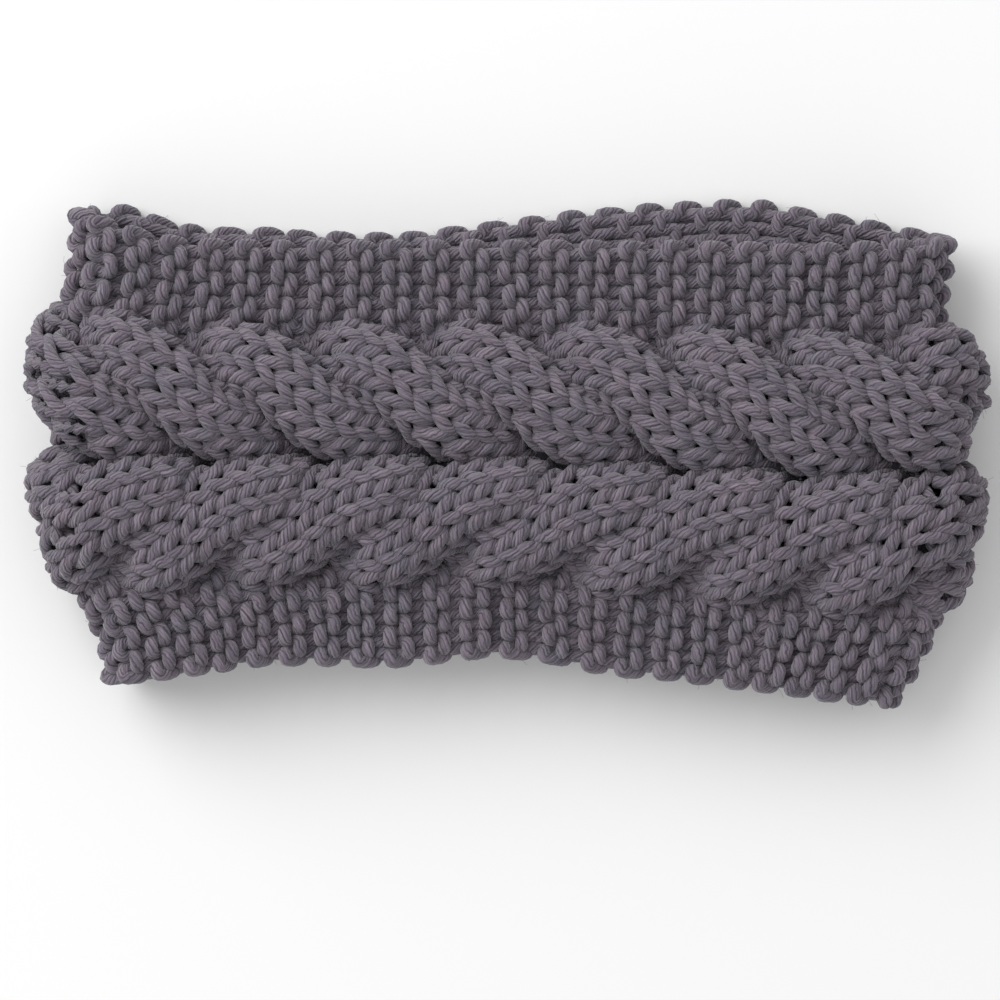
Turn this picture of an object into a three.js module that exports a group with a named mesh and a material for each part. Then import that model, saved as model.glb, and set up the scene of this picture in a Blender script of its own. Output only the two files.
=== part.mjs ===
// Ear warmer headband knitted from thick plied yarn, lying flat: one closed loop of fabric that folds at the
// left and right into an upper and a lower layer, with the hollow for the head open between them. A garter
// border runs round each edge, and between them a horseshoe cable: two mirrored ropes, each of two strands
// that cross over and under each other. Millimetres, +Z up, +X from fold to fold, +Y towards the upper edge.
// The origin is on the ground, under the middle of the headband.
import * as THREE from 'three';
import { ParametricGeometry } from 'three/addons/geometries/ParametricGeometry.js';
import { mergeVertices } from 'three/addons/utils/BufferGeometryUtils.js';

// Sizes of the folded loop
const overallLength = 210;
const bandWidth = 96;
const layerSpacing = 17; // between the middle surfaces of the two layers, beside the folds
const layerSag = 2; // how far the upper layer sinks halfway between the folds
const borderDroop = 2.4; // how far the borders hang below the cable
const restPress = 1.1; // how far the ropes flatten where they rest on the ground
const clearance = 0.3; // between neighbouring pieces
const foldGive = 1.4; // the folds come this much short where no strand lies right across them

// Sizes of the cable
const crossings = 16; // round the whole loop, an even number so that each strand closes on itself
const sectionsPerCrossing = 6; // one for each knitted row
const ropeWidth = 30;
const strandSwing = 7.6; // of a strand's centre line, to each side of its rope's
const strandRise = 2.9; // of a strand's centre line, outwards where it crosses over
const strandGap = 0.5; // between the two strands of a rope
const sideHalfThickness = 2.3; // of a strand where it lies beside the other one
const frontHalfThickness = 3.1; // of its outer half where it crosses over
const backHalfThickness = 2.1; // of its inner half where it crosses under
const frontHalfWidth = 10.6; // of a strand where it crosses over
const ropeLift = 0.8; // how far the ropes' centre lies outside the fabric's middle surface
const cableStart = 0.68; // place of the first crossing's start, in crossings from the left fold

// Sizes of the borders
const ridges = 48; // garter ridges round the loop, one for two rows
const borderThickness = 5.6;
const grooveDepth = 1.1; // of the furrow between two ridges, on each face
const edgeScallop = 0.8; // how far the edge draws in at each furrow

const strandSides = 9;
const ropeTop = ropeLift + strandRise + frontHalfThickness;
const halfWidth = bandWidth / 2;
const foldRadius = layerSpacing / 2;
const flatHalfLength = overallLength / 2 + foldGive - ropeTop - foldRadius;
const loopLength = 4 * flatHalfLength + 2 * Math.PI * foldRadius;
const ropeMiddle = ropeWidth / 2 + clearance / 2;
const borderInside = ropeWidth + 1.5 * clearance;

// Where the band's edges and the cable's middle lie across the picture, as shares of half the band's width.
// At is the place round the loop: 0 at the left fold, along the upper layer to 0.5 at the right fold, and
// back along the lower layer, which shows above the upper layer's edge.
const lay = [
  { at: 0, top: 1.13, middle: 0.01, bottom: -1.06 },
  { at: 0.03, top: 1.07, middle: -0.02, bottom: -1.05 },
  { at: 0.066, top: 0.99, middle: -0.03, bottom: -1.02 },
  { at: 0.125, top: 0.97, middle: -0.03, bottom: -0.97 },
  { at: 0.19, top: 0.97, middle: -0.03, bottom: -0.98 },
  { at: 0.25, top: 0.97, middle: -0.04, bottom: -0.94 },
  { at: 0.31, top: 0.97, middle: -0.06, bottom: -1.02 },
  { at: 0.375, top: 0.96, middle: -0.09, bottom: -1.07 },
  { at: 0.435, top: 0.96, middle: -0.11, bottom: -1.13 },
  { at: 0.5, top: 1.0, middle: -0.05, bottom: -1.16 },
  { at: 0.56, top: 1.09, middle: 0.02, bottom: -1.06 },
  { at: 0.62, top: 1.17, middle: 0.08, bottom: -0.96 },
  { at: 0.69, top: 1.14, middle: 0.08, bottom: -0.91 },
  { at: 0.75, top: 1.08, middle: 0.05, bottom: -0.9 },
  { at: 0.81, top: 1.02, middle: 0.02, bottom: -0.93 },
  { at: 0.875, top: 1.04, middle: 0.01, bottom: -0.95 },
  { at: 0.93, top: 1.06, middle: 0.01, bottom: -0.99 },
  { at: 0.96, top: 1.14, middle: 0.01, bottom: -1.04 },
];

// How far the folds reach out across the band, as shares of their reach at the cable, which is fuller than
// the borders, and how far the band has sunk there, as a share of the borders' droop. Across is 1 at the
// upper edge and -1 at the lower one.
const reach = [
  { across: -1, left: 0.85, right: 0.83, sink: 1 },
  { across: -0.78, left: 0.87, right: 0.91, sink: 0.8 },
  { across: -0.62, left: 0.94, right: 0.97, sink: 0.25 },
  { across: -0.3, left: 1, right: 1, sink: 0 },
  { across: 0.3, left: 1, right: 1, sink: 0 },
  { across: 0.62, left: 0.97, right: 0.96, sink: 0.25 },
  { across: 0.78, left: 0.93, right: 0.95, sink: 0.8 },
  { across: 1, left: 0.93, right: 0.97, sink: 1 },
];

const mix = (a, b, share) => a + (b - a) * share;

// The lay of the band at a place round the loop: a smooth curve through the column's values
function layAt(turn, column) {
  const count = lay.length;
  const next = lay.findIndex((row) => row.at > turn);
  const first = (next < 0 ? count : next) - 1;
  const row = (step) => lay[(first + step + count) % count];
  const place = (step) => row(step).at + Math.floor((first + step) / count);
  const value = (step) => row(step)[column];
  const slope = (step) => (value(step + 1) - value(step - 1)) / (place(step + 1) - place(step - 1));
  const span = place(1) - place(0);
  const share = (turn - place(0)) / span;
  const ease = share * share * (3 - 2 * share);
  const start = share * (1 - share) ** 2 * span * slope(0);
  const end = share ** 2 * (share - 1) * span * slope(1);
  return mix(value(0), value(1), ease) + start + end;
}

function reachAt(across, column) {
  const next = reach.findIndex((row) => row.across >= across);
  const last = next < 0 ? reach.length - 1 : Math.max(next, 1);
  const [a, b] = [reach[last - 1], reach[last]];
  return mix(a[column], b[column], (across - a.across) / (b.across - a.across));
}

// The loop seen along the band: two straight layers and two round folds, from the left fold over the upper
// layer and back along the lower one. Heights are above the lower layer.
function loopAt(turn) {
  const quarter = (Math.PI * foldRadius) / 2;
  const along = turn * loopLength;
  const half = along > loopLength / 2;
  const run = half ? along - loopLength / 2 : along;
  const side = half ? -1 : 1;
  let x = run - quarter - flatHalfLength;
  let rise = foldRadius;
  if (run < quarter || run > loopLength / 2 - quarter) {
    const angle = run < quarter ? run / foldRadius : (loopLength / 2 - run) / foldRadius;
    const end = flatHalfLength + foldRadius * Math.cos(angle);
    x = run < quarter ? -end : end;
    rise = foldRadius * Math.sin(angle);
  }
  return { x: side * x, z: foldRadius + side * rise };
}

// A point of the fabric's middle surface; across is 1 at the upper edge and -1 at the lower one
function middle(turn, across) {
  const around = ((turn % 1) + 1) % 1;
  const { x, z } = loopAt(around);
  const edge = layAt(around, across > 0 ? 'top' : 'bottom');
  const y = halfWidth * mix(layAt(around, 'middle'), edge, Math.abs(across));
  const bound = Math.max(-1, Math.min(1, across));
  const share = mix(1, reachAt(bound, x < 0 ? 'left' : 'right'), Math.abs(x) / (flatHalfLength + foldRadius));
  const hollow = Math.cos((Math.PI / 2) * Math.min(1, Math.abs(x) / flatHalfLength)) ** 2;
  const sag = layerSag * hollow * (z / layerSpacing);
  const height = ropeTop - restPress + z - sag - borderDroop * reachAt(bound, 'sink');
  return new THREE.Vector3(x * share, y, height);
}

// A point at a height outside the middle surface, pressed flat where it would go below the ground
function place(turn, across, out) {
  const step = 1e-3;
  const along = middle(turn + step, across).sub(middle(turn - step, across));
  const over = middle(turn, across + step).sub(middle(turn, across - step));
  const point = middle(turn, across).addScaledVector(along.cross(over).normalize(), out);
  point.z = Math.max(point.z, 0);
  return point;
}

// A closed ring round the loop: section gives the outline at a place round it, as [mm across, mm outwards]
function ring(name, colour, turns, sides, section) {
  const outlines = turns.map((turn) => section(turn));
  const form = (u, v, target) => {
    const i = Math.round(u * turns.length) % turns.length;
    const [across, out] = outlines[i][Math.round(v * sides) % sides];
    target.copy(place(turns[i], across / halfWidth, out));
  };
  const grid = new ParametricGeometry(form, turns.length, sides);
  grid.deleteAttribute('normal');
  grid.deleteAttribute('uv');
  const geometry = mergeVertices(grid, 1e-4);
  geometry.computeVertexNormals();
  const yarn = new THREE.MeshStandardMaterial({ color: colour, roughness: 0.95, metalness: 0 });
  const mesh = new THREE.Mesh(geometry, yarn);
  mesh.name = name;
  return mesh;
}

// One strand of a rope. Its phase grows by half a turn from crossing to crossing: it swings across the rope
// and rises over the other strand, then goes back under it, where it spreads to the rope's full width. Its
// outline is as wide towards the other strand as keeps them apart. Side is 1 for the upper rope, -1 for the
// lower.
function strandSection(turn, side, shift) {
  const phase = Math.PI * (turn * crossings - cableStart + shift);
  const swing = strandSwing * Math.cos(phase);
  const rise = strandRise * Math.sin(phase);
  const apart = new THREE.Vector2(Math.cos(phase) / strandSwing, Math.sin(phase) / strandRise).normalize();
  const free = swing * apart.x + rise * apart.y - strandGap / 2;
  const facing = mix(sideHalfThickness, strandRise - strandGap / 2, Math.sin(phase) ** 2);
  const beside = Math.sqrt(Math.max(0, free ** 2 - (facing * apart.y) ** 2)) / Math.max(Math.abs(apart.x), 1e-6);
  const widest = rise > 0 ? frontHalfWidth : ropeWidth;
  const outer = Math.min(ropeWidth / 2 - Math.abs(swing), widest);
  const inner = Math.min(beside, ropeWidth / 2 + Math.abs(swing), widest);
  const away = mix(sideHalfThickness, rise > 0 ? frontHalfThickness : backHalfThickness, Math.sin(phase) ** 2);
  const outline = [];
  for (let i = 0; i < strandSides; i += 1) {
    const angle = Math.PI / 2 + (2 * Math.PI * i) / strandSides;
    const [across, up] = [Math.cos(angle), Math.sin(angle)];
    const width = across * swing > 0 ? outer : inner;
    const height = up * rise > 0 ? away : facing;
    outline.push([side * (ropeMiddle + swing + width * across), ropeLift + rise + height * up]);
  }
  return side > 0 ? outline.reverse() : outline;
}

// A garter border: a flat rounded section that is thick at each ridge and thin at the furrow beside it
function borderSection(turn, side) {
  const share = (turn * ridges) % 1;
  const furrow = share < 0.1 || share > 0.9 ? 1 : 0;
  const half = borderThickness / 2 - grooveDepth * furrow;
  const outside = halfWidth - edgeScallop * furrow;
  const round = half * 0.9;
  const outline = [
    [borderInside, -half * 0.4],
    [borderInside + round, -half],
    [outside - round, -half],
    [outside, -half * 0.4],
    [outside, half * 0.4],
    [outside - round, half],
    [borderInside + round, half],
    [borderInside, half * 0.4],
  ];
  const mirrored = outline.map(([across, out]) => [side * across, out]);
  return side > 0 ? mirrored.reverse() : mirrored;
}

function strand(name, side, shift) {
  const sections = crossings * sectionsPerCrossing;
  const turns = Array.from({ length: sections }, (_, i) => i / sections);
  return ring(name, 0x6b626d, turns, strandSides, (turn) => strandSection(turn, side, shift));
}

function border(name, side) {
  const turns = Array.from({ length: ridges }, (_, i) => [i / ridges, (i + 0.3) / ridges, (i + 0.7) / ridges]);
  return ring(name, 0x655d67, turns.flat(), 8, (turn) => borderSection(turn, side));
}

const headband = new THREE.Group();
headband.name = 'ear_warmer_headband';
headband.add(border('border_upper', 1));
headband.add(border('border_lower', -1));
headband.add(strand('cable_upper_strand_a', 1, 0));
headband.add(strand('cable_upper_strand_b', 1, 1));
headband.add(strand('cable_lower_strand_a', -1, 0));
headband.add(strand('cable_lower_strand_b', -1, 1));

export default headband;
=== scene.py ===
# Knitted ear warmer headband, lying flat and seen from straight above. Every stitch is a loop of plied
# yarn: knit stitches on the four strands of the horseshoe cable, garter stitch on the two borders.
import math

import bmesh
import bpy
import numpy as np
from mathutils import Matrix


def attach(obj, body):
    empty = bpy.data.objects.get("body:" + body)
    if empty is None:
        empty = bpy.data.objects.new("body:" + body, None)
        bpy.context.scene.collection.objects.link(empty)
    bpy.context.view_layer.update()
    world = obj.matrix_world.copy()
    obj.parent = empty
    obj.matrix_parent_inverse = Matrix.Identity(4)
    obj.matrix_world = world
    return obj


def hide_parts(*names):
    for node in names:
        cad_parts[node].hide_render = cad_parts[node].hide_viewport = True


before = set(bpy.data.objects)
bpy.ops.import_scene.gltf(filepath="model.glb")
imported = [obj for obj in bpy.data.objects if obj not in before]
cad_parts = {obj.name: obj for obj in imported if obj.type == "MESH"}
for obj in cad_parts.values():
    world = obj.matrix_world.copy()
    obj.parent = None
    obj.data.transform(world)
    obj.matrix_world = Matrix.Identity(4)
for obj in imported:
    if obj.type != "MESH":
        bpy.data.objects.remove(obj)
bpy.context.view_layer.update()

MM = 0.001

# Sizes of the folded loop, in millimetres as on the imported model: its length and width, the space between
# the middles of its two layers, how far the upper layer sags and the borders droop, how far the ropes
# flatten on the ground, and how much the folds give way
OVERALL_LENGTH = 210
BAND_WIDTH = 96
LAYER_SPACING = 17
LAYER_SAG = 2
BORDER_DROOP = 2.4
REST_PRESS = 1.1
FOLD_GIVE = 1.4

# The knitting round the whole loop, and where its two ropes run, in millimetres: their width, how far their
# middles are from the cable's middle, how far they lie out of the fabric and how far the solid ones reach
CROSSINGS = 16
ROWS = 96
ROPE_WIDTH = 30
ROPE_MIDDLE = 14.8
ROPE_LIFT = 0.6
ROPE_TOP = 6.8

HALF_WIDTH = BAND_WIDTH / 2
FOLD_RADIUS = LAYER_SPACING / 2
FLAT_HALF = OVERALL_LENGTH / 2 + FOLD_GIVE - ROPE_TOP - FOLD_RADIUS
LOOP_LENGTH = 4 * FLAT_HALF + 2 * math.pi * FOLD_RADIUS

# How the band lies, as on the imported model: where its edges and the cable's middle run, as shares of half
# its width, at places round the loop from the left fold over the upper layer and back along the lower one
LAY = {
    "at": [0, 0.03, 0.066, 0.125, 0.19, 0.25, 0.31, 0.375, 0.435,
           0.5, 0.56, 0.62, 0.69, 0.75, 0.81, 0.875, 0.93, 0.96],
    "top": [1.13, 1.07, 0.99, 0.97, 0.97, 0.97, 0.97, 0.96, 0.96,
            1.0, 1.09, 1.17, 1.14, 1.08, 1.02, 1.04, 1.06, 1.14],
    "middle": [0.01, -0.02, -0.03, -0.03, -0.03, -0.04, -0.06, -0.09, -0.11,
               -0.05, 0.02, 0.08, 0.08, 0.05, 0.02, 0.01, 0.01, 0.01],
    "bottom": [-1.06, -1.05, -1.02, -0.97, -0.98, -0.94, -1.02, -1.07, -1.13,
               -1.16, -1.06, -0.96, -0.91, -0.9, -0.93, -0.95, -0.99, -1.04],
}

# Places across the band, and the shares that its left and right folds reach and its borders droop there
REACH = {
    "across": [-1, -0.78, -0.62, -0.3, 0.3, 0.62, 0.78, 1],
    "left": [0.85, 0.87, 0.92, 0.962, 0.975, 0.96, 0.93, 0.93],
    "right": [0.83, 0.9, 0.945, 0.968, 0.988, 0.95, 0.95, 0.97],
    "sink": [1, 0.8, 0.25, 0, 0, 0.25, 0.8, 1],
}

# The path of a strand over two crossings, in the upper rope (1) and the lower one (-1). It comes out from
# behind at the outer edge of its rope, crosses in front at 1, and dives behind at the inner edge. At each
# place on it: where the strand's middle runs from the rope's middle, half its width, how much further its
# innermost stitches are stretched, and how high it lies, in millimetres
STRANDS = {
    1: {
        "at": [0, 0.1, 0.2, 0.3, 0.4, 0.5, 0.75, 1, 1.25, 1.5, 1.75, 1.9],
        "middle": [-2, 4.5, 7.2, 7.8, 7.9, 7.6, 5.2, 0.2, -5, -7.5, -8.1, -7.2],
        "half": [7.5, 7.5, 7.6, 7.8, 7.8, 7.8, 7.8, 7.9, 8.2, 8.1, 7.8, 7.4],
        "stretch": [5, 12, 12, 5, 1, 0, 0, 0.5, 0.3, 0, 0, 1],
        "height": [-3.6, -3, -2.5, 0.2, 2.8, 4, 5.2, 5.8, 5.2, 3.6, 0.4, -2.8],
    },
    -1: {
        "at": [0, 0.1, 0.2, 0.3, 0.4, 0.5, 0.75, 1, 1.25, 1.5, 1.7, 1.85, 1.93],
        "middle": [-2, 4.5, 7.3, 7.8, 7.7, 7, 3.6, -1.2, -4.8, -6.8, -8, -8.9, -7.5],
        "half": [7.5, 7.5, 7.5, 7.7, 7.9, 8, 8.1, 8.4, 8.6, 8.3, 7.4, 6.2, 6.6],
        "stretch": [5, 12, 12, 5, 1.5, 0.5, 0.5, 2.5, 1.5, 0, 0, 0, 1],
        "height": [-3.6, -3, -2.4, 0.6, 3, 3.8, 4.4, 5, 5.8, 5.8, 4.8, 2, -2.6],
    },
}

# How many crossings from the left fold the path of each rope's strand a begins
STRAND_START = {1: 1.22, -1: 1.44}


def smooth_at(table, column, at, period):
    """A smooth curve through a column of a table that repeats after its period."""
    places = np.array(table["at"], float)
    value = np.array(table[column], float)
    places = np.concatenate([places[-2:] - period, places, places[:2] + period])
    value = np.concatenate([value[-2:], value, value[:2]])
    slope = np.zeros_like(value)
    slope[1:-1] = (value[2:] - value[:-2]) / (places[2:] - places[:-2])
    at = at % period
    i = np.searchsorted(places, at, side="right") - 1
    span = places[i + 1] - places[i]
    share = (at - places[i]) / span
    ease = share * share * (3 - 2 * share)
    start = share * (1 - share) ** 2 * span * slope[i]
    end = share**2 * (share - 1) * span * slope[i + 1]
    return value[i] + (value[i + 1] - value[i]) * ease + start + end


def loop_at(turn):
    """Where the loop runs, seen from its edge: two straight layers and two round folds, x and z in mm."""
    quarter = math.pi * FOLD_RADIUS / 2
    along = turn * LOOP_LENGTH
    lower = along > LOOP_LENGTH / 2
    run = np.where(lower, along - LOOP_LENGTH / 2, along)
    side = np.where(lower, -1.0, 1.0)
    near = run < quarter
    folded = near | (run > LOOP_LENGTH / 2 - quarter)
    angle = np.where(near, run, LOOP_LENGTH / 2 - run) / FOLD_RADIUS
    end = (FLAT_HALF + FOLD_RADIUS * np.cos(angle)) * np.where(near, -1, 1)
    x = np.where(folded, end, run - quarter - FLAT_HALF)
    rise = np.where(folded, FOLD_RADIUS * np.sin(angle), FOLD_RADIUS)
    return side * x, FOLD_RADIUS + side * rise


def middle(turn, across):
    """Points of the fabric's middle surface; across is 1 at the upper edge and -1 at the lower one."""
    x, z = loop_at(turn % 1.0)
    edge = np.where(across > 0, smooth_at(LAY, "top", turn, 1), smooth_at(LAY, "bottom", turn, 1))
    centre = smooth_at(LAY, "middle", turn, 1)
    y = HALF_WIDTH * (centre + (edge - centre) * np.abs(across))
    side = [np.interp(across, REACH["across"], REACH[name]) for name in ("left", "right")]
    share = 1 + (np.where(x < 0, *side) - 1) * np.abs(x) / (FLAT_HALF + FOLD_RADIUS)
    hollow = np.cos(math.pi / 2 * np.minimum(1, np.abs(x) / FLAT_HALF)) ** 2
    sag = LAYER_SAG * hollow * z / LAYER_SPACING
    sunk = BORDER_DROOP * np.interp(across, REACH["across"], REACH["sink"])
    return np.stack([x * share, y, ROPE_TOP - REST_PRESS + z - sag - sunk], axis=-1)


# How far to each side the surface is felt for its slope, as a share of the loop and of half the width
NORMAL_STEP = 1e-3


def place(along_mm, across_mm, out_mm, lowest_mm):
    """Points out_mm outside the middle surface, in millimetres, no lower than lowest_mm."""
    turn = np.asarray(along_mm) / LOOP_LENGTH
    across = np.asarray(across_mm) / HALF_WIDTH
    along = middle(turn + NORMAL_STEP, across) - middle(turn - NORMAL_STEP, across)
    over = middle(turn, across + NORMAL_STEP) - middle(turn, across - NORMAL_STEP)
    normal = np.cross(along, over)
    normal /= np.linalg.norm(normal, axis=-1, keepdims=True)
    point = middle(turn, across) + normal * np.asarray(out_mm)[..., None]
    point[..., 2] = np.maximum(point[..., 2], lowest_mm)
    return point


# The yarn: its radius and lowest middle in millimetres, pressed a little flat on the floor, the plies wound
# round it with grooves as deep as this share of the radius, and how finely its loops are drawn
YARN_RADIUS = 1.5
LOWEST_YARN = YARN_RADIUS * 0.97
PLIES = 4
PLY_GROOVE = 0.045
TWIST_ANGLE = math.radians(46)
STEPS_PER_STITCH = 24

# How much fuller the yarn is, as shares of its radius: where a loop stands out, by a hand's unevenness, and
# where rows spread apart, between these spreads, and up to OPEN_FULLNESS more past the open spread
LOOP_FULLNESS = 0.13
UNEVEN_FULLNESS = 0.05
SPREADS = (0.8, 1.8)
OPEN_SPREAD = 1.35
OPEN_FULLNESS = 1.4

# The loose ends of its fibres: how thick and long they are, how much they curl and how far from the yarn's
# middle they start, in millimetres, and how finely and how many are drawn
FIBRE_RADIUS = 0.03
FIBRE_SIDES = 3
FIBRE_STEPS = 2
FIBRE_LENGTHS = (0.6, 1.8)
FIBRE_CURL = 0.5
FIBRE_ROOT = YARN_RADIUS * 0.8
FIBRES_PER_PIECE = 2000

# Knit stitches on a strand: wales across it, how far a loop reaches along it and out of it in millimetres,
# how far its legs lean in stitches, and the share of the reach that is left on a slanting strand
STRAND_WALES = 3
KNIT_REACH = 4.3
KNIT_DEPTH = 1.5
KNIT_LEAN = 0.26
STRAND_SLANT = 0.8

# The strand's section: the angle its sides turn down by, and how far its outer and inner edges and the very
# ends of its rows drop, in millimetres
STRAND_SIDE = math.radians(40)
OUTER_CROWN = 6.5
INNER_CROWN = 4.5
END_TUCK = 2.5

# Its rows lean with the strand up to a slope, felt over this step in millimetres. The strand is in front
# from FRONT_START on, and wholly so FRONT_RISE higher. Behind, its stitches stand out this share as far
MOST_SLOPE = 1.2
SLOPE_STEP = 2
FRONT_START = -3.5
FRONT_RISE = 6
BEHIND_DEPTH = 0.7

# Garter stitches on a border: bumps in front on one row and behind on the next. How far they reach along
# it, lean in stitches, stand out, stand out more in front and sink between the bumps, in millimetres, and
# how narrow their crests are
BORDER_STITCHES = 4
STITCH_WIDTH = 5.3
GARTER_REACH = 4.05
GARTER_LEAN = 0.13
GARTER_DEPTH = 1.75
GARTER_FOOT = 0.25
GARTER_SINK = 1.15
GARTER_CREST = 0.65

# How far the knots of the border's edge swing out and how finely they are drawn, and from which stitch, over
# how many and how deep its inner stitches are tucked under the cable
EDGE_KNOT = 0.5
EDGE_STEPS = 11
TUCK_START = 2.7
TUCK_LENGTH = 0.8
TUCK_DEPTH = 2

# A hand's unevenness in where a loop and a whole row lie and how far a loop stands out, in millimetres, and
# in the knots, as a share
KNIT_UNEVEN = 0.3
ROW_UNEVEN = 0.25
KNIT_UNEVEN_DEPTH = 0.2
GARTER_UNEVEN = 0.4
GARTER_UNEVEN_DEPTH = 0.3
KNOT_UNEVEN = 0.3

random = np.random.default_rng(7)


def stitches(count, lean):
    """A row of loops: the place across it in stitches, each loop's own turn, and a hand's unevenness."""
    turn = np.linspace(0, count, count * STEPS_PER_STITCH + 1)
    uneven = np.interp(turn, np.arange(count + 1), random.normal(0, 1, count + 1))
    return turn + lean * np.sin(4 * math.pi * turn), 2 * math.pi * turn, uneven


def fullness(loop_share, uneven, behind, ahead):
    """The yarn's radius as a share of its usual one: fuller where a loop stands out and where rows spread
    apart, which shows in how far apart the points one millimetre behind and ahead in the band lie."""
    spread = np.linalg.norm(ahead - behind, axis=-1) / 2
    filled = np.clip(spread, *SPREADS) ** 0.5 * np.clip(spread / OPEN_SPREAD, 1, OPEN_FULLNESS)
    return (1 + LOOP_FULLNESS * loop_share + UNEVEN_FULLNESS * uneven) * filled


def strand_surface(along, across, side, shift, out):
    """Points this far out of a cable strand's surface, in millimetres: across is 1 at its outer edge and -1
    at its inner one, side is 1 in the upper rope and -1 in the lower one, and shift is 1 for strand b."""

    def shape(column, at):
        return smooth_at(STRANDS[side], column, at * CROSSINGS / LOOP_LENGTH - STRAND_START[side] + shift, 2)

    # Stitches stand square to the strand where it comes across in front, and level behind
    slope = (shape("middle", along + SLOPE_STEP) - shape("middle", along - SLOPE_STEP)) / (2 * SLOPE_STEP)
    lean = np.arctan(np.clip(slope, -MOST_SLOPE, 0))
    curve = across * STRAND_SIDE
    sideways = shape("half", along) * np.sin(curve) / math.sin(STRAND_SIDE)
    sideways -= shape("stretch", along) * np.clip(-across, 0, 1) ** 3

    # Both edges turn down ever more steeply, and the very ends of a row go under what lies beside it
    height = shape("height", along)
    front = np.clip((height - FRONT_START) / FRONT_RISE, 0, 1)
    crown = front * np.where(across < 0, INNER_CROWN, OUTER_CROWN) * np.abs(across) ** 3
    crown += END_TUCK * across**8
    swing = ROPE_MIDDLE + shape("middle", along) + sideways * np.cos(lean)
    level = ROPE_LIFT + height - crown + out * (BEHIND_DEPTH + (1 - BEHIND_DEPTH) * front)
    return place(along - sideways * np.sin(lean), side * swing, level, LOWEST_YARN)


def strand_row(row, side, shift):
    """The yarn of one knitted row of a cable strand, as points with their share of its radius."""
    across, loop, uneven = stitches(STRAND_WALES, KNIT_LEAN)
    forward = KNIT_UNEVEN * uneven + ROW_UNEVEN * random.normal() - KNIT_REACH * np.cos(loop)
    along = row * LOOP_LENGTH / ROWS + forward * STRAND_SLANT
    across = across * 2 / STRAND_WALES - 1
    depth = KNIT_UNEVEN_DEPTH * uneven - KNIT_DEPTH * np.cos(2 * loop)
    behind, points, ahead = [strand_surface(along + step, across, side, shift, depth) for step in (-1, 0, 1)]
    return np.column_stack([points, fullness(-np.cos(2 * loop), uneven, behind, ahead)])


def garter_row(row):
    """One garter row from the edge towards the cable: along, across and out in millimetres, then where on
    its loops each point is, from -1 behind to 1 in front, and how uneven it is."""
    across, loop, uneven = stitches(BORDER_STITCHES, GARTER_LEAN)
    purl = 1 if row % 2 else -1
    bend = (1 - GARTER_CREST) * np.cos(loop) + GARTER_CREST * np.cos(loop) ** 3
    reach = GARTER_REACH * np.sin(math.pi / 2 * np.cos(loop))
    along = row * LOOP_LENGTH / ROWS - reach + GARTER_UNEVEN * uneven
    edge = HALF_WIDTH - YARN_RADIUS - EDGE_KNOT - across * STITCH_WIDTH

    # The stitches next to the cable are half as bumpy and tucked under it, the last half stitch deeper still
    tucked = np.clip((across - TUCK_START) / TUCK_LENGTH, 0, 1)
    out = (purl * GARTER_DEPTH + GARTER_FOOT) * bend * (1 - 0.5 * tucked) - TUCK_DEPTH * tucked
    out += GARTER_UNEVEN_DEPTH * uneven - GARTER_SINK * np.sin(loop) ** 2
    out -= END_TUCK * np.clip(2 * (across - BORDER_STITCHES) + 1, 0, 1) ** 2
    return np.stack([along, edge, out, purl * np.cos(loop), uneven])


def border_yarn(pair, side):
    """A purled row and the knit row after it, in one length of yarn that turns round at the edge."""
    purled = garter_row(2 * pair + 1)
    knit = garter_row(2 * pair + 2)

    # The yarn swings out in a small knot between the two rows
    share = np.linspace(0, 1, EDGE_STEPS)[1:-1]
    ease = (1 - np.cos(math.pi * share)) / 2
    turn = purled[:, :1] + (knit[:, :1] - purled[:, :1]) * ease
    turn[1] += EDGE_KNOT * (1 + KNOT_UNEVEN * random.normal()) * np.sin(math.pi * share)
    along, edge, out, loop_share, uneven = np.concatenate([purled[:, ::-1], turn, knit], axis=1)
    behind, points, ahead = [place(along + step, side * edge, out, LOWEST_YARN) for step in (-1, 0, 1)]
    return np.column_stack([points, fullness(loop_share, uneven, behind, ahead)])


def loose_fibres(yarns):
    """Short fibres that stand out of the yarn here and there, as points in millimetres."""
    fibres = []
    share = np.linspace(0, 1, FIBRE_STEPS + 1)[:, None]
    for _ in range(FIBRES_PER_PIECE):
        yarn = yarns[random.integers(len(yarns))][:, :3]
        i = random.integers(1, len(yarn) - 1)
        along = yarn[i + 1] - yarn[i - 1]
        along /= np.linalg.norm(along)

        # Each leaves the yarn at its own slant and curls a little
        away = np.cross(along, random.normal(0, 1, 3))
        away /= np.linalg.norm(away)
        aim = away * random.uniform(0.3, 1) + along * random.uniform(-1, 1)
        curl = random.normal(0, FIBRE_CURL, 3)
        reach = random.uniform(*FIBRE_LENGTHS)
        fibre = yarn[i] + away * FIBRE_ROOT + reach * (aim * share + curl * share**2)
        fibre[:, 2] = np.maximum(fibre[:, 2], FIBRE_RADIUS)
        fibres.append(np.column_stack([fibre, np.ones(FIBRE_STEPS + 1)]))
    return fibres


def curves_through(name, runs, winding):
    """Poly splines through runs of points, each with its share of the section's radius after its place,
    and turned by winding radians for every millimetre."""
    curves = bpy.data.curves.new(name, "CURVE")
    curves.dimensions = "3D"
    curves.twist_mode = "MINIMUM"
    for points in runs:
        steps = np.linalg.norm(np.diff(points[:, :3], axis=0), axis=1)
        length = np.concatenate([[0], np.cumsum(steps)])
        start = random.uniform(0, 2 * math.pi)
        spline = curves.splines.new("POLY")
        spline.points.add(len(points) - 1)
        flat = np.column_stack([points[:, :3] * MM, np.ones(len(points))])
        spline.points.foreach_set("co", flat.ravel())
        spline.points.foreach_set("radius", points[:, 3])
        spline.points.foreach_set("tilt", start - length * winding)
    return curves


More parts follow.
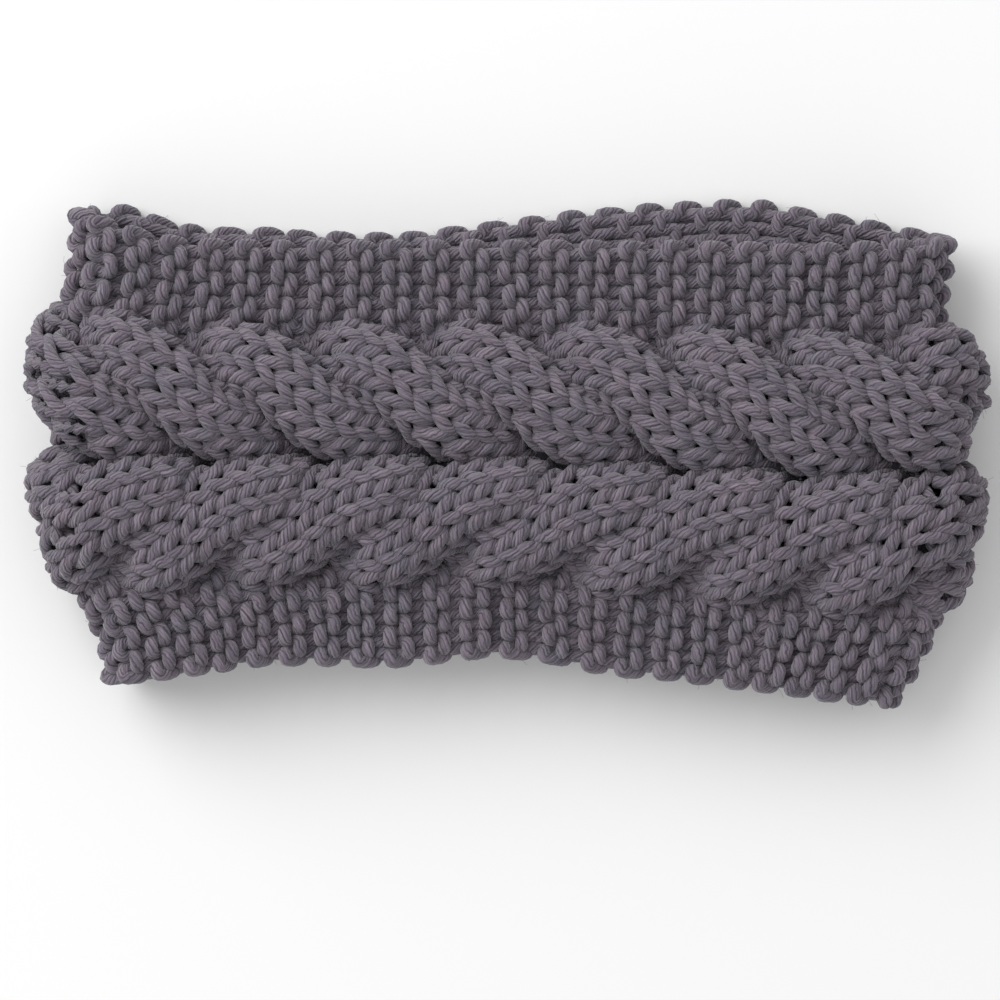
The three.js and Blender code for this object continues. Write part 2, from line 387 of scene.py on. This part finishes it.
def linear(hex_colour):
    """An sRGB hex colour as linear red, green, blue and alpha."""
    parts = [int(hex_colour[i:i + 2], 16) / 255 for i in (1, 3, 5)]
    return [c / 12.92 if c <= 0.04045 else ((c + 0.055) / 1.055) ** 2.4 for c in parts] + [1]


def add(tree, kind, links=None, stops=(), **values):
    """A node with its settings, its sockets' values, its links from other sockets and its colour stops."""
    node = tree.nodes.new(kind)
    for name, value in values.items():
        setattr(node, name, value)
    for socket, source in (links or {}).items():
        target = node.inputs[socket]
        if isinstance(source, bpy.types.NodeSocket):
            tree.links.new(source, target)
        else:
            target.default_value = source
    for i, (position, colour) in enumerate(stops):
        node.color_ramp.elements[i].position = position
        node.color_ramp.elements[i].color = linear(colour)
    return node


# How far apart two lengths of yarn start in the fibre pattern, in metres
YARN_SHIFT = 0.37


def sweep(name, radius, sides, groove):
    """Geometry nodes that sweep a section with grooves between its plies along curves. The mesh keeps
    yarn_along, how far along the yarn a point is, and yarn_round, its place on the section."""
    tree = bpy.data.node_groups.new(name, "GeometryNodeTree")
    tree.interface.new_socket("Geometry", in_out="INPUT", socket_type="NodeSocketGeometry")
    tree.interface.new_socket("Geometry", in_out="OUTPUT", socket_type="NodeSocketGeometry")
    enter = add(tree, "NodeGroupInput")
    leave = add(tree, "NodeGroupOutput")
    run = add(tree, "GeometryNodeSplineParameter")
    yarn = add(tree, "GeometryNodeCurveOfPoint")
    along = add(tree, "ShaderNodeMath", operation="MULTIPLY_ADD", links={
        0: yarn.outputs["Curve Index"], 1: YARN_SHIFT, 2: run.outputs["Length"]})
    noted = add(tree, "GeometryNodeStoreNamedAttribute", data_type="FLOAT", domain="POINT", links={
        "Geometry": enter.outputs[0], "Name": "yarn_along", "Value": along.outputs[0]})
    circle = add(tree, "GeometryNodeCurvePrimitiveCircle", links={
        "Resolution": sides, "Radius": radius * MM})
    index = add(tree, "GeometryNodeInputIndex")
    crest = add(tree, "ShaderNodeMath", operation="MODULO", links={0: index.outputs[0], 1: 2.0})
    position = add(tree, "GeometryNodeInputPosition")
    rounded = add(tree, "GeometryNodeStoreNamedAttribute", data_type="FLOAT_VECTOR", domain="POINT", links={
        "Geometry": circle.outputs["Curve"], "Name": "yarn_round", "Value": position.outputs[0]})
    size = add(tree, "ShaderNodeMath", operation="MULTIPLY_ADD", links={
        0: crest.outputs[0], 1: groove, 2: 1.0 - groove})
    scaled = add(tree, "ShaderNodeVectorMath", operation="SCALE", links={
        0: position.outputs[0], "Scale": size.outputs[0]})
    lobed = add(tree, "GeometryNodeSetPosition", links={
        "Geometry": rounded.outputs[0], "Position": scaled.outputs[0]})
    swept = add(tree, "GeometryNodeCurveToMesh", links={
        "Curve": noted.outputs[0], "Profile Curve": lobed.outputs[0], "Fill Caps": True})
    smooth = add(tree, "GeometryNodeSetShadeSmooth", links={"Geometry": swept.outputs[0]})
    tree.links.new(smooth.outputs[0], leave.inputs[0])
    return tree


def swept_mesh(curves, section):
    """The mesh that a section's geometry nodes make of some curves."""
    holder = bpy.data.objects.new("holder", curves)
    bpy.context.scene.collection.objects.link(holder)
    modifier = holder.modifiers.new("sweep", "NODES")
    modifier.node_group = section
    evaluated = holder.evaluated_get(bpy.context.evaluated_depsgraph_get())
    mesh = bpy.data.meshes.new_from_object(evaluated)
    bpy.data.objects.remove(holder)
    return mesh


# Pattern scales, as one over a length in metres: patches of wool 6 mm wide, plies that wander every 2 mm and
# fibres drawn 0.5 mm wide, which is coarser than they are, so that they show
HEATHER_SCALE = 1 / 0.006
WANDER_SCALE = 1 / 0.002
FIBRE_SCALE = 1 / 0.0005

# How far the plies wander round the yarn in radians, how much they count beside the finer strands in them
# and the fibres beside both, how much longer than wide the fibres are, and how deep the relief is in metres
PLY_WANDER = 1.3
PLY_SHARE = 0.5
FIBRE_SHARE = 0.5
STREAK_LENGTH = 8
PLY_RELIEF = 0.00019
INSIDE_RELIEF = 0.0004


def yarn_material():
    """Spun acrylic and wool yarn, four plies twisted together: matt and slightly fuzzy, a heathered
    purple-grey whose fibres run along the plies, with painted shade darkening the grooves between them."""
    material = bpy.data.materials.new("plied_wool_acrylic_yarn")
    material.use_nodes = True
    tree = material.node_tree
    shader = tree.nodes["Principled BSDF"]
    shader.inputs["Roughness"].default_value = 0.9
    shader.inputs["Sheen Weight"].default_value = 0.25
    shader.inputs["Sheen Roughness"].default_value = 0.5
    shader.inputs["Specular IOR Level"].default_value = 0.2

    # Heather: soft patches of cooler and warmer wool
    where = add(tree, "ShaderNodeTexCoord")
    patches = add(tree, "ShaderNodeTexNoise", links={
        "Vector": where.outputs["Object"], "Scale": HEATHER_SCALE, "Detail": 3.0})
    heather = add(tree, "ShaderNodeValToRGB", links={"Fac": patches.outputs["Fac"]},
                  stops=[(0.35, "#827c88"), (0.65, "#8b808c")])

    # Plies: rounded ridges that wind round the yarn, each of two strands with a finer groove between, none
    # of them quite straight
    around = add(tree, "ShaderNodeAttribute", attribute_name="yarn_round")
    place_on = add(tree, "ShaderNodeSeparateXYZ", links={0: around.outputs["Vector"]})
    even = add(tree, "ShaderNodeMath", operation="ARCTAN2", links={
        0: place_on.outputs["Y"], 1: place_on.outputs["X"]})
    wander = add(tree, "ShaderNodeTexNoise", links={
        "Vector": where.outputs["Object"], "Scale": WANDER_SCALE, "Detail": 2.0})
    angle = add(tree, "ShaderNodeMath", operation="MULTIPLY_ADD", links={
        0: wander.outputs["Fac"], 1: PLY_WANDER, 2: even.outputs[0]})
    ridges = []
    for count in (PLIES, 2 * PLIES):
        turned = add(tree, "ShaderNodeMath", operation="MULTIPLY", links={0: angle.outputs[0], 1: count / 2})
        wave = add(tree, "ShaderNodeMath", operation="SINE", links={0: turned.outputs[0]})
        ridges.append(add(tree, "ShaderNodeMath", operation="ABSOLUTE", links={0: wave.outputs[0]}))
    plies = add(tree, "ShaderNodeMath", operation="MULTIPLY_ADD", links={
        0: ridges[0].outputs[0], 1: PLY_SHARE, 2: ridges[1].outputs[0]})

    # Fibres: streaks that follow the plies
    along = add(tree, "ShaderNodeAttribute", attribute_name="yarn_along")
    short = add(tree, "ShaderNodeMath", operation="MULTIPLY", links={
        0: along.outputs["Fac"], 1: 1 / STREAK_LENGTH})
    upright = add(tree, "ShaderNodeCombineXYZ", links={"Z": short.outputs[0]})
    spot = add(tree, "ShaderNodeVectorMath", operation="ADD", links={
        0: around.outputs["Vector"], 1: upright.outputs[0]})
    streaks = add(tree, "ShaderNodeTexNoise", links={
        "Vector": spot.outputs[0], "Scale": FIBRE_SCALE, "Detail": 3.0, "Roughness": 0.6})
    shade = add(tree, "ShaderNodeValToRGB", links={"Fac": streaks.outputs["Fac"]},
                stops=[(0.3, "#a09ca2"), (0.7, "#ffffff")])
    fibres = add(tree, "ShaderNodeMix", data_type="RGBA", blend_type="MULTIPLY", links={
        "Factor": 1.0, 6: heather.outputs["Color"], 7: shade.outputs["Color"]})
    # Painted shade: the colour is darkened in the grooves between the plies, where shade falls
    groove = add(tree, "ShaderNodeValToRGB", links={"Fac": plies.outputs[0]},
                 stops=[(0.1, "#aba6ae"), (0.9, "#ffffff")])
    colour = add(tree, "ShaderNodeMix", data_type="RGBA", blend_type="MULTIPLY", links={
        "Factor": 1.0, 6: fibres.outputs[2], 7: groove.outputs["Color"]})
    tree.links.new(colour.outputs[2], shader.inputs["Base Color"])

    # Relief: round plies with finer fibres on them
    grain = add(tree, "ShaderNodeMath", operation="MULTIPLY_ADD", links={
        0: streaks.outputs["Fac"], 1: FIBRE_SHARE, 2: plies.outputs[0]})
    bump = add(tree, "ShaderNodeBump", links={
        "Strength": 1.0, "Distance": PLY_RELIEF, "Height": grain.outputs[0]})
    tree.links.new(bump.outputs["Normal"], shader.inputs["Normal"])
    return material


def inner_shade_material():
    """The same yarn deep inside the fabric, between its stitches: painted dark for the shade that falls
    there, soft and without gloss.
    """
    material = bpy.data.materials.new("yarn_inside_fabric_painted_shade")
    material.use_nodes = True
    tree = material.node_tree
    shader = tree.nodes["Principled BSDF"]
    shader.inputs["Roughness"].default_value = 1
    shader.inputs["Specular IOR Level"].default_value = 0.1
    where = add(tree, "ShaderNodeTexCoord")
    fuzz = add(tree, "ShaderNodeTexNoise", links={
        "Vector": where.outputs["Object"], "Scale": FIBRE_SCALE, "Detail": 3.0})
    # Painted shade: a dark colour for the yarn deep between the stitches
    colour = add(tree, "ShaderNodeValToRGB", links={"Fac": fuzz.outputs["Fac"]},
                 stops=[(0.3, "#2e2a30"), (0.7, "#4a444d")])
    tree.links.new(colour.outputs["Color"], shader.inputs["Base Color"])
    bump = add(tree, "ShaderNodeBump", links={
        "Strength": 0.8, "Distance": INSIDE_RELIEF, "Height": fuzz.outputs["Fac"]})
    tree.links.new(bump.outputs["Normal"], shader.inputs["Normal"])
    return material


def piece(name, mesh, material):
    """An object of the mesh that rides on the root, in the yarn's colour."""
    mesh.materials.clear()
    mesh.materials.append(material)
    made = bpy.data.objects.new(name, mesh)
    bpy.context.scene.collection.objects.link(made)
    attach(made, "root")
    return made


def stitched_piece(node, yarns):
    """The stitches and loose fibres that stand for one CAD node."""
    winding = math.tan(TWIST_ANGLE) / YARN_RADIUS
    mesh = swept_mesh(curves_through(node, yarns, winding), YARN_SECTION)
    fuzz = swept_mesh(curves_through(node, loose_fibres(yarns), 0), FIBRE_SECTION)
    shape = bmesh.new()
    shape.from_mesh(mesh)
    shape.from_mesh(fuzz)
    shape.to_mesh(mesh)
    shape.free()
    bpy.data.meshes.remove(fuzz)
    made = piece(node + "_stitches", mesh, YARN)
    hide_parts(node)
    return made


# The inside of the fabric, a sheet that the stitches stand on both sides of: its share of the band's width,
# how deep it lies in the borders and under the cable, in millimetres, over how far to each side of the
# ropes' edge it slopes from one to the other, and its cells across and along
CORE_EDGE = 0.94
CORE_SINK = 1.4
CORE_CABLE_SINK = 3
CORE_SLOPE = 3
CORE_CELLS = (22, 240)


def fabric_core():
    """One closed strip round the loop, midway through the fabric and deeper under the cable."""
    shape = bmesh.new()
    bmesh.ops.create_grid(shape, x_segments=CORE_CELLS[1], y_segments=CORE_CELLS[0], size=1)
    grid = np.array([vertex.co[:] for vertex in shape.verts])
    across = grid[:, 1] * CORE_EDGE * HALF_WIDTH
    slope = [ROPE_WIDTH - CORE_SLOPE, ROPE_WIDTH + CORE_SLOPE]
    deep = np.interp(np.abs(across), slope, [CORE_CABLE_SINK, CORE_SINK])
    points = place((grid[:, 0] + 1) / 2 * LOOP_LENGTH, across, -deep, YARN_RADIUS)
    for vertex, point in zip(shape.verts, points):
        vertex.co = point * MM
    bmesh.ops.remove_doubles(shape, verts=shape.verts, dist=1e-5)
    for face in shape.faces:
        face.smooth = True
    mesh = bpy.data.meshes.new("fabric_core")
    shape.to_mesh(mesh)
    shape.free()
    # The sheet's dark colour is painted shade for the depths between the stitches
    core = piece("fabric_core", mesh, inner_shade_material())


YARN_SECTION = sweep("plied_yarn", YARN_RADIUS, 2 * PLIES, PLY_GROOVE)
FIBRE_SECTION = sweep("fibre", FIBRE_RADIUS, FIBRE_SIDES, 0.0)
YARN = yarn_material()
for side, half in ((1, "upper"), (-1, "lower")):
    yarns = [border_yarn(pair, side) for pair in range(ROWS // 2)]
    stitched_piece("border_" + half, yarns)
    for shift, letter in ((0, "a"), (1, "b")):
        yarns = [strand_row(row, side, shift) for row in range(ROWS)]
        stitched_piece("cable_" + half + "_strand_" + letter, yarns)
fabric_core()

# The floor, a matt white board: pale and even, without gloss
bpy.ops.mesh.primitive_plane_add(size=6)
floor = bpy.context.object
floor.name = "floor"
paint = bpy.data.materials.new("matt_white_board")
paint.use_nodes = True
paint.node_tree.nodes["Principled BSDF"].inputs["Base Color"].default_value = linear("#f4f4f4")
paint.node_tree.nodes["Principled BSDF"].inputs["Roughness"].default_value = 0.9
floor.data.materials.append(paint)

# An even white surround and one large soft light from the upper left
SURROUND = 0.68
world = bpy.data.worlds.new("studio")
bpy.context.scene.world = world
world.use_nodes = True
world.node_tree.nodes["Background"].inputs["Color"].default_value = (1, 1, 1, 1)
world.node_tree.nodes["Background"].inputs["Strength"].default_value = SURROUND
bpy.context.scene.view_settings.view_transform = "Standard"


def area_light(name, location, size, power):
    """A round studio light that faces the object."""
    light = bpy.data.lights.new(name, "AREA")
    light.shape = "DISK"
    light.size = size
    light.energy = power
    lamp = bpy.data.objects.new(name, light)
    lamp.location = location
    direction = -lamp.location
    lamp.rotation_euler = direction.to_track_quat("-Z", "Y").to_euler()
    bpy.context.scene.collection.objects.link(lamp)


area_light("key", location=(-1.1, 0.8, 1.1), size=1.7, power=25)

# The photograph's frame is 1000 pixels wide at 0.2178 mm a pixel, with x 505 and y 452.5 at the origin. It
# is seen from straight above, and its width is that at the height of the cable's face
VIEW_PIXELS = 1000
VIEW_WIDTH = 0.2178
ORIGIN_PIXEL = (505, 452.5)
CAMERA_HEIGHT = 1.3
FACE_HEIGHT = 0.02
camera = bpy.data.cameras.new("camera")
camera.sensor_width = 36
camera.lens = camera.sensor_width * (CAMERA_HEIGHT - FACE_HEIGHT) / VIEW_WIDTH
eye = bpy.data.objects.new("camera", camera)
right = VIEW_PIXELS / 2 - ORIGIN_PIXEL[0]
up = ORIGIN_PIXEL[1] - VIEW_PIXELS / 2
eye.location = (right * VIEW_WIDTH / VIEW_PIXELS, up * VIEW_WIDTH / VIEW_PIXELS, CAMERA_HEIGHT)
bpy.context.scene.collection.objects.link(eye)
bpy.context.scene.camera = eye
